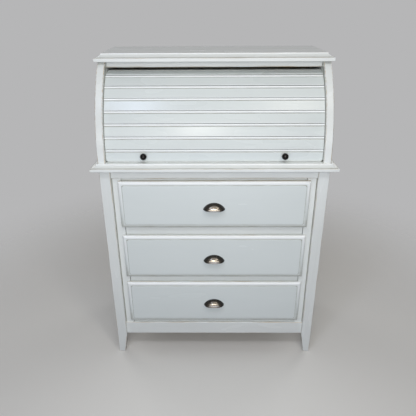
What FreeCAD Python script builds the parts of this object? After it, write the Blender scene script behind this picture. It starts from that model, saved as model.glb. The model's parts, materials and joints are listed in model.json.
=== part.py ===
"""Tambour desk: a painted three-drawer pedestal on tapered legs, with a roll-top writing case.

Millimetres. X runs left to right, Y runs from the front (negative) to the back, Z is up.
The origin is on the floor, in the middle of the waist board's width and depth.
"""
import FreeCAD, Part
import math
import os

from FreeCAD import Vector

# ---------------------------------------------------------------- driving dimensions
# legs and pedestal
leg_span = 791.0              # outside of one front leg to the outside of the other
leg_size = 37.5               # square section of a leg
leg_foot = 24.0               # section left at the floor after the taper
taper_height = 86.5           # the taper starts here, level with the bottom apron
leg_round = 2.0               # eased long edges of the legs
case_depth = 396.0            # front face of the front legs to the back face of the back legs
side_thickness = 18.0         # pedestal side panels
side_recess = 5.0             # side panels lie behind the outer faces of the legs by this
back_thickness = 6.0          # pedestal back panel
back_recess = 6.0             # back panel lies in front of the legs' back faces by this

# face frame
frame_recess = 14.0           # stiles and rails lie behind the leg fronts by this
frame_thickness = 20.0
stile_width = 32.0
apron_proud = 4.0             # the two aprons stand in front of the stiles by this
top_apron_height = 35.5
bottom_apron_height = 57.5
apron_round = 3.5             # rounded long edges of the aprons
rail_setback = 6.0            # rails lie behind the faces of the stiles by this
rail_end_gap = 3.5            # open slit between a rail and the stile
rail_back_thickness = 18.0    # the part of a rail that is glued behind the stiles

# waist board and top board: a rounded lip, a bevel above it, a little hollow, and an upright fillet on top
waist_front_overhang = 24.5   # past the leg fronts, and past the legs at the sides
waist_back_overhang = 4.5
waist_lip_height = 11.5
waist_lip_round = 2.5
waist_bevel_rise = 9.5
waist_bevel_run = 16.0
waist_fillet = 3.0
top_lip_height = 13.0
top_lip_round = 2.5
top_bevel_rise = 11.0
top_bevel_run = 17.0
top_fillet = 3.0
moulding_quirk = 1.0          # flat step between the lip's round and the bevel
bevel_hollow = 0.05           # depth of the bevel's hollow, as a part of its width
top_side_overhang = 9.0
top_front_setback = 149.3     # from the waist board's lip back to the top board's lip

# writing case
upper_height = 313.5          # waist board's top to the top board's underside
upper_side_thickness = 25.5
front_edge_lean = 145.2       # how far the curved front edge has gone back at its top
upper_side_round = 2.5
upper_back_thickness = 8.0
upper_back_recess = 4.0       # behind it, to the back faces of the sides
top_rail_height = 21.0
top_rail_thickness = 20.0
top_rail_setback = 158.5      # behind the leg fronts
top_rail_round = 4.0

# tambour
tambour_setback = 15.0        # slat faces lie inside the curved front edge by this
slat_thickness = 10.0         # with its canvas
canvas_thickness = 0.8
canvas_end_inset = 6.0        # the canvas stops short of the slats' ends
canvas_edge_inset = 0.6       # and of each hinge line
slat_pitch = 43.2             # along the slat faces
lift_rail_height = 43.0       # along the face
lift_rail_extra = 6.0         # the lift rail is thicker than a slat, on its back
slat_count = 8                # behind the lift rail
slat_edge_gap = 0.15          # each long edge stays off the hinge plane
slat_end_gap = 0.5            # each end stays off the side panel
slat_bead = 7.0               # bead along the upper edge
slat_bead_drop = 0.4          # the bead's crown lies below the face by this
slat_quirk_width = 2.5        # sunk line under the bead
slat_quirk_depth = 1.0
slat_bottom_round = 2.5
tambour_headroom = 32.0       # top board's underside to the slats that lie flat below it
front_bend = 80.0             # radius of the bend from the curved front to the flat run
back_bend = 90.0              # radius of the bend down the back
tambour_back_gap = 8.0        # slats to the upper back panel
rest_gap = 0.3                # the closed lift rail stands this far above the waist board

# groove in the sides, and the lift rail's tongues in it
tongue_length = 6.0
tongue_thickness = 6.0
tongue_skin = 2.0             # wood between the tongue and the lift rail's face
groove_clearance = 0.5
tongue_end_inset = 1.5        # the tongue is shorter than the lift rail by this at both ends

# knobs on the lift rail
knob_span = 479.0             # between the two knob axes
knob_diameter = 23.0
knob_height = 24.0            # from the lift rail's face
knob_stem_diameter = 10.0
knob_base_diameter = 15.0
knob_base_height = 3.0

# organiser on the waist board
organiser_height = 140.0
organiser_depth = 175.0
organiser_thickness = 10.0
organiser_divider_count = 3

# drawers, listed from the top
drawer_front_heights = (180.0, 179.0, 183.0)
drawer_reveals = (34.0, 26.0)  # between one drawer front and the next
top_reveal = 8.0               # top apron to the first drawer front
bottom_reveal = 15.0           # last drawer front to the bottom apron
drawer_lip_overlap = 10.5      # the fronts overlap the frame by this all round
drawer_lip_thickness = 4.0
drawer_ovolo = 8.0
drawer_band = 15.0             # from the lip's edge to the raised field
drawer_field_rise = 2.0
drawer_field_round = 7.0
drawer_face_gap = 0.3          # lip to frame when closed
drawer_plug_clearance = 1.5    # inner block of a front to the frame opening
drawer_plug_depth = 12.0
drawer_side_thickness = 12.0
drawer_side_clearance = 5.0    # box side to the frame opening
drawer_back_clearance = 36.0   # back of the box to the pedestal's back panel
drawer_box_headroom = 20.0     # top of the box below the opening's top
drawer_box_lift = 3.0          # box above the rail under it
drawer_back_thickness = 12.0
drawer_back_drop = 12.0        # the back is lower than the sides by this
drawer_bottom_thickness = 5.0
drawer_bottom_lift = 8.0       # bottom panel above the sides' lower edges

# runners
runner_thickness = 12.0
runner_ledge = 15.0            # how far a runner reaches under the drawer side
runner_clearance = 0.3         # under the drawer side
guide_height = 24.0            # guide beside the drawer side
guide_clearance = 1.0

# cup pulls
pull_width = 79.0
pull_height = 24.5
pull_projection = 24.0
pull_wall = 1.8
pull_drops = (13.5, 13.5, 8.5)  # open undersides below the middles of the drawer fronts
pull_screw_spacing = 44.0
pull_boss_diameter = 9.0
pull_thread_depth = 8.0
screw_diameter = 4.0
screw_hole_clearance = 0.25   # around the shank in the drawer front
thread_clearance = 0.1        # around and beyond it in the pull's boss
screw_head_diameter = 8.0
screw_head_height = 2.5
screw_lift = 8.0               # screws above the pull's open underside

# ---------------------------------------------------------------- layout worked out from them
half_span = leg_span / 2
waist_depth = waist_front_overhang + case_depth + waist_back_overhang
y_waist_front = -waist_depth / 2
y_waist_back = waist_depth / 2
y_leg_front = y_waist_front + waist_front_overhang
y_leg_back = y_leg_front + case_depth
x_leg_inner = half_span - leg_size
y_frame = y_leg_front + frame_recess
y_frame_back = y_frame + frame_thickness
y_apron = y_frame - apron_proud
x_stile_inner = x_leg_inner - stile_width
x_side_outer = half_span - side_recess
x_side_inner = x_side_outer - side_thickness
y_back_panel = y_leg_back - back_recess - back_thickness

drawer_stack = sum(drawer_front_heights) + sum(drawer_reveals)
leg_height = (taper_height + bottom_apron_height + bottom_reveal + drawer_stack
              + top_reveal + top_apron_height)    # floor to the underside of the waist board
waist_thickness = waist_lip_height + waist_bevel_rise + waist_fillet
top_thickness = top_lip_height + top_bevel_rise + top_fillet
z_waist_top = leg_height + waist_thickness
z_top_board = z_waist_top + upper_height
z_top = z_top_board + top_thickness
x_upper_inner = half_span - upper_side_thickness
y_upper_back_front = y_leg_back - upper_back_recess - upper_back_thickness
y_top_front = y_waist_front + top_front_setback
y_top_rail = y_leg_front + top_rail_setback

# the curved front edge: an arc that is upright where it leaves the waist board
edge_radius = (upper_height**2 + front_edge_lean**2) / (2 * front_edge_lean)
y_arc = y_leg_front + edge_radius
z_arc = z_waist_top
face_radius = edge_radius - tambour_setback

z_apron_bottom = leg_height - top_apron_height
drawer_tops = [
    z_apron_bottom - top_reveal - sum(drawer_front_heights[:i]) - sum(drawer_reveals[:i])
    for i in range(len(drawer_front_heights))
]
drawer_bottoms = [top - height for top, height in zip(drawer_tops, drawer_front_heights)]
opening_tops = [z - drawer_lip_overlap for z in drawer_tops]
opening_bottoms = [z + drawer_lip_overlap for z in drawer_bottoms]
z_bottom_apron_top = taper_height + bottom_apron_height

parts = {}


def keep(name, *solids):
    """File the solids of one node under its name."""
    parts[name] = solids[0] if len(solids) == 1 else Part.makeCompound(list(solids))


# ---------------------------------------------------------------- shape helpers
def box(x0, x1, y0, y1, z0, z1):
    return Part.makeBox(x1 - x0, y1 - y0, z1 - z0, Vector(x0, y0, z0))


def both_sides(right):
    """The right-hand solid and its mirror image, left first."""
    return right.mirror(Vector(0, 0, 0), Vector(1, 0, 0)), right


def outline(start, *steps):
    """Closed wire in the X = 0 plane from (y, z) points; a pair of points is an arc through them."""
    edges, here = [], Vector(0, *start)
    for step in steps + (start,):
        if isinstance(step[0], tuple):
            middle, end = (Vector(0, *point) for point in step)
            edges.append(Part.Arc(here, middle, end).toShape())
        else:
            end = Vector(0, *step)
            if here.distanceToPoint(end) < 1e-7:
                continue
            edges.append(Part.makeLine(here, end))
        here = end
    return Part.Wire(edges)


def along_x(wire, x0, x1):
    """Solid swept along X from a wire in the X = 0 plane."""
    solid = Part.Face(wire).extrude(Vector(x1 - x0, 0, 0))
    solid.translate(Vector(x0, 0, 0))
    return solid


def arc_point(centre, radius, angle):
    """Point on a circle in the YZ plane; the angle rises from straight ahead (minus Y)."""
    return centre[0] - radius * math.cos(angle), centre[1] + radius * math.sin(angle)


def corner_arc(centre, radius, a0, a1):
    """Arc step for outline(): its middle and end points, angles as in arc_point."""
    return arc_point(centre, radius, (a0 + a1) / 2), arc_point(centre, radius, a1)


def rounded_square(x0, x1, y0, y1, z, radius):
    """Closed wire of a rectangle with rounded corners at one height."""
    cut = radius * (1 - math.sqrt(0.5))
    corners = [
        ((x0, y0 + radius), (x0 + cut, y0 + cut), (x0 + radius, y0)),
        ((x1 - radius, y0), (x1 - cut, y0 + cut), (x1, y0 + radius)),
        ((x1, y1 - radius), (x1 - cut, y1 - cut), (x1 - radius, y1)),
        ((x0 + radius, y1), (x0 + cut, y1 - cut), (x0, y1 - radius)),
    ]
    edges = []
    for here, after in zip(corners, corners[1:] + corners[:1]):
        first, middle, last = (Vector(*point, z) for point in here)
        edges.append(Part.Arc(first, middle, last).toShape())
        edges.append(Part.makeLine(last, Vector(*after[0], z)))
    return Part.Wire(edges)


def edge_profile(lip_height, lip_round, run, rise, fillet):
    """Edge moulding as (inset, height) steps from the lip's underside to the flat top."""
    bulge = lip_round * (1 - math.sqrt(0.5))
    start = lip_round + moulding_quirk
    hollow = (start + run / 2 + bevel_hollow * rise, lip_height + rise / 2 - bevel_hollow * run)
    return [
        (lip_round, 0.0),
        ((bulge, bulge), (0.0, lip_round)),
        (0.0, lip_height - lip_round),
        ((bulge, lip_height - bulge), (lip_round, lip_height)),
        (start, lip_height),
        (hollow, (start + run, lip_height + rise)),
        (start + run, lip_height + rise + fillet),
    ]


def moulded_board(half_width, y_front, y_back, z_bottom, height, moulding):
    """Board with one moulding along its front and both ends, mitred at the corners."""
    def place(step, y_of):
        if isinstance(step[0], tuple):
            return tuple((y_of(inset), z_bottom + rise) for inset, rise in step)
        return y_of(step[0]), z_bottom + step[1]

    front_steps = [place(step, lambda inset: y_front + inset) for step in moulding]
    front = along_x(
        outline((y_back, z_bottom), *front_steps, (y_back, z_bottom + height)),
        -half_width, half_width)
    one_end = [place(step, lambda inset: -half_width + inset) for step in moulding]
    other_end = [place(step, lambda inset: half_width - inset) for step in moulding]
    ends = along_x(outline(one_end[0], *one_end[1:], *turned_round(other_end)), y_front, y_back)
    ends.rotate(Vector(0, 0, 0), Vector(0, 0, 1), 90)
    return front.common(ends)


def turned_round(steps):
    """The same open outline walked from its other end."""
    ends = [step[1] if isinstance(step[0], tuple) else step for step in steps]
    back = [ends[-1]]
    for i in range(len(steps) - 1, 0, -1):
        if isinstance(steps[i][0], tuple):
            back.append((steps[i][0], ends[i - 1]))
        else:
            back.append(ends[i - 1])
    return back


def long_edges(solid, keep_edge):
    return [edge for edge in solid.Edges
            if edge.Curve.TypeId == "Part::GeomLine" and keep_edge(edge.BoundBox)]


# ---------------------------------------------------------------- pedestal
def leg(side, end):
    """One leg: side is -1 left or 1 right, end is -1 front or 1 back. It tapers on its inner faces."""
    x_out, y_out = side * half_span, y_leg_front if end < 0 else y_leg_back

    def section(size, z):
        x0, x1 = sorted((x_out, x_out - side * size))
        y0, y1 = sorted((y_out, y_out - end * size))
        return rounded_square(x0, x1, y0, y1, z, leg_round)

    straight = Part.Face(section(leg_size, taper_height)).extrude(
        Vector(0, 0, leg_height - taper_height))
    taper = Part.makeLoft([section(leg_foot, 0), section(leg_size, taper_height)], True, True)
    return straight.fuse(taper).removeSplitter()


def make_legs():
    for end_name, end in (("front", -1), ("back", 1)):
        for side_name, side in (("left", -1), ("right", 1)):
            keep(f"{end_name}_{side_name}_leg", leg(side, end))


def make_pedestal_panels():
    panel = box(x_side_inner, x_side_outer, y_leg_front + leg_size, y_leg_back - leg_size,
                taper_height, leg_height)
    left, right = both_sides(panel)
    keep("left_side_panel", left)
    keep("right_side_panel", right)
    keep("back_panel", box(-x_leg_inner, x_leg_inner, y_back_panel, y_back_panel + back_thickness,
                           taper_height, leg_height))


def apron(z0, z1):
    """Front board between the legs, in front of the stiles, with rounded front edges."""
    board = box(-x_leg_inner, x_leg_inner, y_apron, y_frame_back, z0, z1)
    front = long_edges(board, lambda b: b.XLength > leg_size and b.YMax < y_apron + 0.01)
    return board.makeFillet(apron_round, front)


def frame_rail(z0, z1):
    """Rail of the face frame: a part between the stiles, and a back part glued behind them."""
    half = x_stile_inner - rail_end_gap
    between = box(-half, half, y_frame + rail_setback, y_frame_back, z0, z1)
    back = box(-x_leg_inner, x_leg_inner, y_frame_back, y_frame_back + rail_back_thickness, z0, z1)
    return between.fuse(back).removeSplitter()


def make_face_frame():
    keep("top_apron", apron(z_apron_bottom, leg_height))
    keep("bottom_apron", apron(taper_height, z_bottom_apron_top))
    stile = box(x_stile_inner, x_leg_inner, y_frame, y_frame_back,
                z_bottom_apron_top, z_apron_bottom)
    left, right = both_sides(stile)
    keep("left_stile", left)
    keep("right_stile", right)
    keep("top_rail", frame_rail(opening_tops[0], z_apron_bottom))
    for i in range(len(drawer_reveals)):
        keep(f"drawer_rail_{i + 1}", frame_rail(opening_tops[i + 1], opening_bottoms[i]))
    keep("bottom_rail", frame_rail(z_bottom_apron_top, opening_bottoms[-1]))


def make_runners():
    """A ledge and a guide on each side panel for every drawer."""
    x_box = x_stile_inner - drawer_side_clearance
    y0, y1 = y_frame_back + rail_back_thickness, y_leg_back - leg_size
    for i, bottom in enumerate(opening_bottoms):
        z_ledge = bottom + drawer_box_lift - runner_clearance
        ledge = box(x_box - runner_ledge, x_side_inner, y0, y1, z_ledge - runner_thickness, z_ledge)
        guide = box(x_box + guide_clearance, x_side_inner, y0, y1, z_ledge, z_ledge + guide_height)
        keep(f"runners_{i + 1}", *both_sides(ledge.fuse(guide).removeSplitter()))


# ---------------------------------------------------------------- boards and writing case
def make_boards():
    moulding = edge_profile(waist_lip_height, waist_lip_round, waist_bevel_run, waist_bevel_rise, waist_fillet)
    keep("waist_board", moulded_board(
        half_span + waist_front_overhang, y_waist_front, y_waist_back,
        leg_height, waist_thickness, moulding))
    moulding = edge_profile(top_lip_height, top_lip_round, top_bevel_run, top_bevel_rise, top_fillet)
    keep("top_board", moulded_board(
        half_span + top_side_overhang, y_top_front, y_waist_back,
        z_top_board, top_thickness, moulding))


def ring_sector(inner, outer, a0, a1, x0, x1):
    """Solid between two radii about the tambour's arc centre."""
    centre = (y_arc, z_arc)
    return along_x(outline(
        arc_point(centre, inner, a0),
        corner_arc(centre, inner, a0, a1),
        arc_point(centre, outer, a1),
        corner_arc(centre, outer, a1, a0)), x0, x1)


def make_upper_case():
    lean_angle = math.asin(upper_height / edge_radius)
    side = along_x(outline(
        (y_leg_front, z_waist_top),
        corner_arc((y_arc, z_arc), edge_radius, 0, lean_angle),
        (y_leg_back, z_top_board),
        (y_leg_back, z_waist_top)), x_upper_inner, half_span)
    rim = [edge for edge in side.Edges if edge.Curve.TypeId == "Part::GeomCircle"]
    side = side.makeFillet(upper_side_round, rim)
    groove_top = rest_angle + lift_angle + tambour_travel + groove_clearance / face_radius
    groove = ring_sector(tongue_inner - groove_clearance, tongue_outer + groove_clearance,
                         0, groove_top,
                         x_upper_inner, x_upper_inner + tongue_length + groove_clearance)
    left, right = both_sides(side.cut(groove))
    keep("left_upper_side", left)
    keep("right_upper_side", right)
    keep("upper_back_panel", box(-x_upper_inner, x_upper_inner, y_upper_back_front,
                                 y_upper_back_front + upper_back_thickness,
                                 z_waist_top, z_top_board))
    rail = box(-x_upper_inner, x_upper_inner, y_top_rail, y_top_rail + top_rail_thickness,
               z_top_board - top_rail_height, z_top_board)
    edge = long_edges(rail, lambda b: b.XLength > leg_size and b.YMax < y_top_rail + 0.01
                      and b.ZMax < z_top_board - top_rail_height + 0.01)
    keep("top_front_rail", rail.makeFillet(top_rail_round, edge))


def make_organiser():
    y1 = y_upper_back_front - slat_thickness - 2 * tambour_back_gap
    y0 = y1 - organiser_depth
    z1 = z_waist_top + organiser_height
    keep("organiser_shelf", box(-x_upper_inner, x_upper_inner, y0, y1, z1 - organiser_thickness, z1))
    bay = 2 * x_upper_inner / (organiser_divider_count + 1)
    keep("organiser_dividers", *[
        box(x - organiser_thickness / 2, x + organiser_thickness / 2, y0, y1,
            z_waist_top, z1 - organiser_thickness)
        for x in (bay * (i + 1) - x_upper_inner for i in range(organiser_divider_count))])


# ---------------------------------------------------------------- tambour path
# The canvas line is the line that every slat hinges on. It follows the slats' backs: up the
# curved front, round the front bend, flat under the top board, and down the back.
canvas_radius = face_radius - slat_thickness
z_flat = z_top_board - tambour_headroom
bend_angle = math.asin((z_flat - z_arc - front_bend) / (face_radius - front_bend))
front_bend_centre = arc_point((y_arc, z_arc), face_radius - front_bend, bend_angle)
y_back_run = y_upper_back_front - tambour_back_gap
back_bend_centre = (y_back_run - back_bend, z_flat - back_bend)
lift_angle = lift_rail_height / face_radius
rest_angle = rest_gap / face_radius
tambour_travel = bend_angle - lift_angle - rest_angle     # radians about the arc's centre
slat_width = 2 * canvas_radius * math.sin(slat_pitch / face_radius / 2)
tongue_outer = face_radius - tongue_skin
tongue_inner = tongue_outer - tongue_thickness


def on_canvas_line(length):
    """Point (y, z) of the canvas line at this length from the level of the waist board."""
    front_run = canvas_radius * bend_angle
    if length <= front_run:
        return arc_point((y_arc, z_arc), canvas_radius, length / canvas_radius)
    length -= front_run
    radius = front_bend - slat_thickness
    bend_run = radius * (math.pi / 2 - bend_angle)
    if length <= bend_run:
        return arc_point(front_bend_centre, radius, bend_angle + length / radius)
    length -= bend_run
    flat_run = back_bend_centre[0] - front_bend_centre[0]
    if length <= flat_run:
        return front_bend_centre[0] + length, z_flat - slat_thickness
    length -= flat_run
    radius = back_bend - slat_thickness
    bend_run = radius * math.pi / 2
    if length <= bend_run:
        return arc_point(back_bend_centre, radius, math.pi / 2 + length / radius)
    return y_back_run - slat_thickness, back_bend_centre[1] - (length - bend_run)


def next_hinge(length):
    """Length along the canvas line of the point one slat width further on."""
    start = on_canvas_line(length)
    low, high = length + slat_width / 2, length + slat_width * 1.6
    for _ in range(60):
        middle = (low + high) / 2
        if math.dist(start, on_canvas_line(middle)) < slat_width:
            low = middle
        else:
            high = middle
    return high


def hinge_line(turn):
    """Hinge points (y, z) with the lift rail turned up by this angle, from its lower edge on."""
    low = (rest_angle + turn) * canvas_radius
    lengths = [low, low + lift_angle * canvas_radius]
    for _ in range(slat_count):
        lengths.append(next_hinge(lengths[-1]))
    return [on_canvas_line(length) for length in lengths]


# ---------------------------------------------------------------- tambour pieces
def slat_outline(width, back):
    """Section of a slat in (across, out) steps: out is from the canvas line to the face."""
    face = slat_thickness
    low, high = slat_edge_gap, width - slat_edge_gap
    crown = face - slat_bead_drop
    bead_round = slat_bead / 2
    shoulder = high - slat_bead
    turn = bead_round * math.sqrt(0.5)
    bottom_turn = slat_bottom_round * (1 - math.sqrt(0.5))
    return (low, back), [
        (low, face - slat_bottom_round),
        ((low + bottom_turn, face - bottom_turn), (low + slat_bottom_round, face)),
        (shoulder - slat_quirk_width, face),
        (shoulder - slat_quirk_width, face - slat_quirk_depth),
        (shoulder, face - slat_quirk_depth),
        (shoulder, crown - bead_round),
        ((shoulder + bead_round - turn, crown - bead_round + turn), (shoulder + bead_round, crown)),
        ((shoulder + bead_round + turn, crown - bead_round + turn), (high, crown - bead_round)),
        (high, back),
    ]


def bar(lower, upper, half_length, back):
    """Wood of a slat or of the lift rail between two hinge points."""
    width = math.dist(lower, upper)
    along = ((upper[0] - lower[0]) / width, (upper[1] - lower[1]) / width)
    out = (-along[1], along[0])

    def place(step):
        if isinstance(step[0], tuple):
            return tuple(place(point) for point in step)
        return tuple(lower[i] + step[0] * along[i] + step[1] * out[i] for i in range(2))

    start, steps = slat_outline(width, back)
    return along_x(outline(place(start), *[place(step) for step in steps]),
                   -half_length, half_length)


def canvas_strip(lower, upper, half_length):
    """Canvas glued on the back of one slat."""
    width = math.dist(lower, upper)
    along = ((upper[0] - lower[0]) / width, (upper[1] - lower[1]) / width)
    out = (-along[1], along[0])
    corners = [(canvas_edge_inset, 0), (canvas_edge_inset, canvas_thickness),
               (width - canvas_edge_inset, canvas_thickness), (width - canvas_edge_inset, 0)]
    points = [tuple(lower[i] + a * along[i] + b * out[i] for i in range(2)) for a, b in corners]
    return along_x(outline(*points), -half_length, half_length)


def knob(lower, upper, x):
    """Turned knob that stands square on the lift rail's face."""
    radius, stem, base = knob_diameter / 2, knob_stem_diameter / 2, knob_base_diameter / 2
    ball_centre = knob_height - radius
    neck = ball_centre - math.sqrt(radius**2 - stem**2)
    profile = Part.Wire([
        Part.makeLine(Vector(0, 0, 0), Vector(base, 0, 0)),
        Part.makeLine(Vector(base, 0, 0), Vector(base, 0, knob_base_height / 2)),
        Part.makeLine(Vector(base, 0, knob_base_height / 2), Vector(stem, 0, knob_base_height)),
        Part.makeLine(Vector(stem, 0, knob_base_height), Vector(stem, 0, neck)),
        Part.Arc(Vector(stem, 0, neck), Vector(radius, 0, ball_centre),
                 Vector(0, 0, knob_height)).toShape(),
        Part.makeLine(Vector(0, 0, knob_height), Vector(0, 0, 0)),
    ])
    solid = Part.Face(profile).revolve(Vector(0, 0, 0), Vector(0, 0, 1), 360)
    width = math.dist(lower, upper)
    along = Vector(0, (upper[0] - lower[0]) / width, (upper[1] - lower[1]) / width)
    out = Vector(0, -along.z, along.y)
    foot = Vector(0, *lower) + along * (width / 2) + out * slat_thickness + Vector(x, 0, 0)
    solid.Placement = FreeCAD.Placement(foot, FreeCAD.Rotation(Vector(0, 0, 1), out))
    return solid


def make_tambour():
    hinges = hinge_line(0)
    half_length = x_upper_inner - slat_end_gap
    rail = bar(hinges[0], hinges[1], half_length, -lift_rail_extra)
    inset = tongue_end_inset / face_radius
    tongue = ring_sector(tongue_inner, tongue_outer, rest_angle + inset,
                         rest_angle + lift_angle - inset,
                         half_length - tongue_length, half_length + tongue_length)
    for piece in both_sides(tongue):
        rail = rail.fuse(piece)
    keep("lift_rail", rail.removeSplitter())
    for name, side in (("left_knob", -1), ("right_knob", 1)):
        keep(name, knob(hinges[0], hinges[1], side * knob_span / 2))
    for i in range(slat_count):
        lower, upper = hinges[i + 1], hinges[i + 2]
        keep(f"tambour_slat_{i + 1}",
             bar(lower, upper, half_length, canvas_thickness),
             canvas_strip(lower, upper, half_length - canvas_end_inset))


# ---------------------------------------------------------------- drawers
def drawer_front(z0, z1, screws):
    """Lipped front with an ovolo and a raised field, its inner block and the screw holes."""
    half = x_stile_inner + drawer_lip_overlap
    y_back = y_frame - drawer_face_gap
    y_step = y_back - drawer_lip_thickness - drawer_ovolo
    block = box(-half, half, y_step, y_back, z0, z1)
    face_edges = long_edges(block, lambda b: b.YMax < y_step + 0.01)
    block = block.makeFillet(drawer_ovolo, face_edges)
    field = box(-half + drawer_band, half - drawer_band, y_step - drawer_field_rise, y_step,
                z0 + drawer_band, z1 - drawer_band)
    corners = long_edges(field, lambda b: b.YLength > drawer_field_rise / 2)
    field = field.makeFillet(drawer_field_round, corners)
    inner = drawer_lip_overlap + drawer_plug_clearance
    plug = box(-half + inner, half - inner, y_back, y_back + drawer_plug_depth,
               z0 + inner, z1 - inner)
    front = block.fuse([field, plug]).removeSplitter()
    for x, z in screws:
        front = front.cut(Part.makeCylinder(
            screw_diameter / 2 + screw_hole_clearance, 3 * frame_thickness,
            Vector(x, y_step - frame_thickness, z), Vector(0, 1, 0)))
    return front


def ellipsoid(half_width, depth, height, centre):
    ball = Part.makeSphere(1.0)
    matrix = FreeCAD.Matrix()
    matrix.scale(half_width, depth, height)
    ball = ball.transformGeometry(matrix)
    ball.translate(centre)
    return ball


def cup_pull(y_face, z_open, screws):
    """Quarter of an ellipsoid shell, open below and against the drawer, with two screw bosses."""
    centre = Vector(0, y_face, z_open)
    quarter = box(-pull_width, pull_width, y_face - 2 * pull_projection, y_face,
                  z_open, z_open + 2 * pull_height)
    shell = ellipsoid(pull_width / 2, pull_projection, pull_height, centre).common(quarter)
    hollow = ellipsoid(pull_width / 2 - pull_wall, pull_projection - pull_wall,
                       pull_height - pull_wall, centre)
    outside = shell
    shell = shell.cut(hollow)
    for x, z in screws:
        boss = Part.makeCylinder(pull_boss_diameter / 2, pull_projection,
                                 Vector(x, y_face, z), Vector(0, -1, 0))
        hole = Part.makeCylinder(screw_diameter / 2 + thread_clearance, pull_thread_depth,
                                 Vector(x, y_face, z), Vector(0, -1, 0))
        shell = shell.fuse(boss.common(outside)).cut(hole)
    return shell.removeSplitter()


def make_drawer(number):
    z0, z1 = drawer_bottoms[number - 1], drawer_tops[number - 1]
    z_open = (z0 + z1) / 2 - pull_drops[number - 1]
    screws = [(side * pull_screw_spacing / 2, z_open + screw_lift) for side in (-1, 1)]
    y_back_of_front = y_frame - drawer_face_gap + drawer_plug_depth
    y_field = (y_frame - drawer_face_gap - drawer_lip_thickness - drawer_ovolo
               - drawer_field_rise)
    keep(f"drawer_{number}_front", drawer_front(z0, z1, screws))

    x_out = x_stile_inner - drawer_side_clearance
    x_in = x_out - drawer_side_thickness
    y_end = y_back_panel - drawer_back_clearance
    box_bottom = opening_bottoms[number - 1] + drawer_box_lift
    box_top = opening_tops[number - 1] - drawer_box_headroom
    side = box(x_in, x_out, y_back_of_front, y_end, box_bottom, box_top)
    left, right = both_sides(side)
    keep(f"drawer_{number}_left_side", left)
    keep(f"drawer_{number}_right_side", right)
    z_panel = box_bottom + drawer_bottom_lift
    keep(f"drawer_{number}_bottom", box(-x_in, x_in, y_back_of_front, y_end,
                                        z_panel, z_panel + drawer_bottom_thickness))
    keep(f"drawer_{number}_back", box(-x_in, x_in, y_end - drawer_back_thickness, y_end,
                                      z_panel + drawer_bottom_thickness,
                                      box_top - drawer_back_drop))
    keep(f"drawer_{number}_pull", cup_pull(y_field, z_open, screws))
    reach = y_back_of_front - y_field + pull_thread_depth - thread_clearance
    keep(f"drawer_{number}_pull_screws", *[
        Part.makeCylinder(screw_diameter / 2, reach, Vector(x, y_back_of_front, z),
                          Vector(0, -1, 0)).fuse(
            Part.makeCylinder(screw_head_diameter / 2, screw_head_height,
                              Vector(x, y_back_of_front, z), Vector(0, 1, 0))).removeSplitter()
        for x, z in screws])


# ---------------------------------------------------------------- build
def main():
    make_legs()
    make_pedestal_panels()
    make_face_frame()
    make_runners()
    make_boards()
    make_upper_case()
    make_organiser()
    make_tambour()
    for number in range(1, len(drawer_front_heights) + 1):
        make_drawer(number)
    for state, turn in (("closed", 0), ("open", tambour_travel)):
        points = ", ".join(f"({y:.1f}, {z:.1f})" for y, z in hinge_line(turn))
        print(f"tambour {state}, hinge lines at (y, z): {points}")
    os.makedirs("parts", exist_ok=True)
    for name, shape in parts.items():
        shape.exportStep(f"parts/{name}.step")
        print(f"{name}: {len(shape.Solids)} solid(s), {shape.Volume / 1000:.1f} cm3,"
              f" valid {shape.isValid()}")


main()
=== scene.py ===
# %% [markdown]
# # A painted tambour desk
# The desk is a chest of three drawers on four tapered legs. A writing case stands on it, closed by a
# tambour: a curtain of flat wooden slats glued to canvas, which runs up the curved case and away behind.
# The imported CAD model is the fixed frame. It gives every place and size, and nothing in it moves here.
# What this lesson adds is the look: eased edges, brushed paint that is rubbed through at the corners,
# bare pine inside the drawers, cotton canvas, and dark nickel pulls and knobs.

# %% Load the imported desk
import json
import math
import bpy
import numpy as np
from mathutils import Matrix, Vector


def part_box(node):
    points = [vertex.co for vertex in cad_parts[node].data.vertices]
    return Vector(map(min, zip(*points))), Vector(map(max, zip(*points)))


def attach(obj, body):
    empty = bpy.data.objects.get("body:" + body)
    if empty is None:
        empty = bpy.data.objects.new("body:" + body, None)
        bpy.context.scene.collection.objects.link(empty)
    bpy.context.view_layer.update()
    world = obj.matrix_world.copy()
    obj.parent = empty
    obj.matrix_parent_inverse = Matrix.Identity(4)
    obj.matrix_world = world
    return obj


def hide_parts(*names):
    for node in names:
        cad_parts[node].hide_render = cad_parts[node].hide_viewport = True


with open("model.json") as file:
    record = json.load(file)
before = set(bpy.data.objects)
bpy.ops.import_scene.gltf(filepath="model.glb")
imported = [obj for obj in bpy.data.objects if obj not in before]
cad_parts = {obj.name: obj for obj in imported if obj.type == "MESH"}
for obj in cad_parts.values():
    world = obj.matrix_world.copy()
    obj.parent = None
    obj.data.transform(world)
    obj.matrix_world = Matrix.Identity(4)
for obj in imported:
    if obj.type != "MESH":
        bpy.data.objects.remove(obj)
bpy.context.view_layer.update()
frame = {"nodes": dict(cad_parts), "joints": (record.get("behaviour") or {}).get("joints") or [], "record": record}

nodes = frame["nodes"]
joints = {joint["name"]: joint for joint in frame["joints"]}
body_of = {node: body for body, members in frame["record"]["behaviour"]["bodies"].items() for node in members}
MM = 0.001


def corners(node):
    """Lowest and highest corner of a CAD node, as numpy arrays in metres."""
    low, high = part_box(node)
    return np.array(low), np.array(high)


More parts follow.
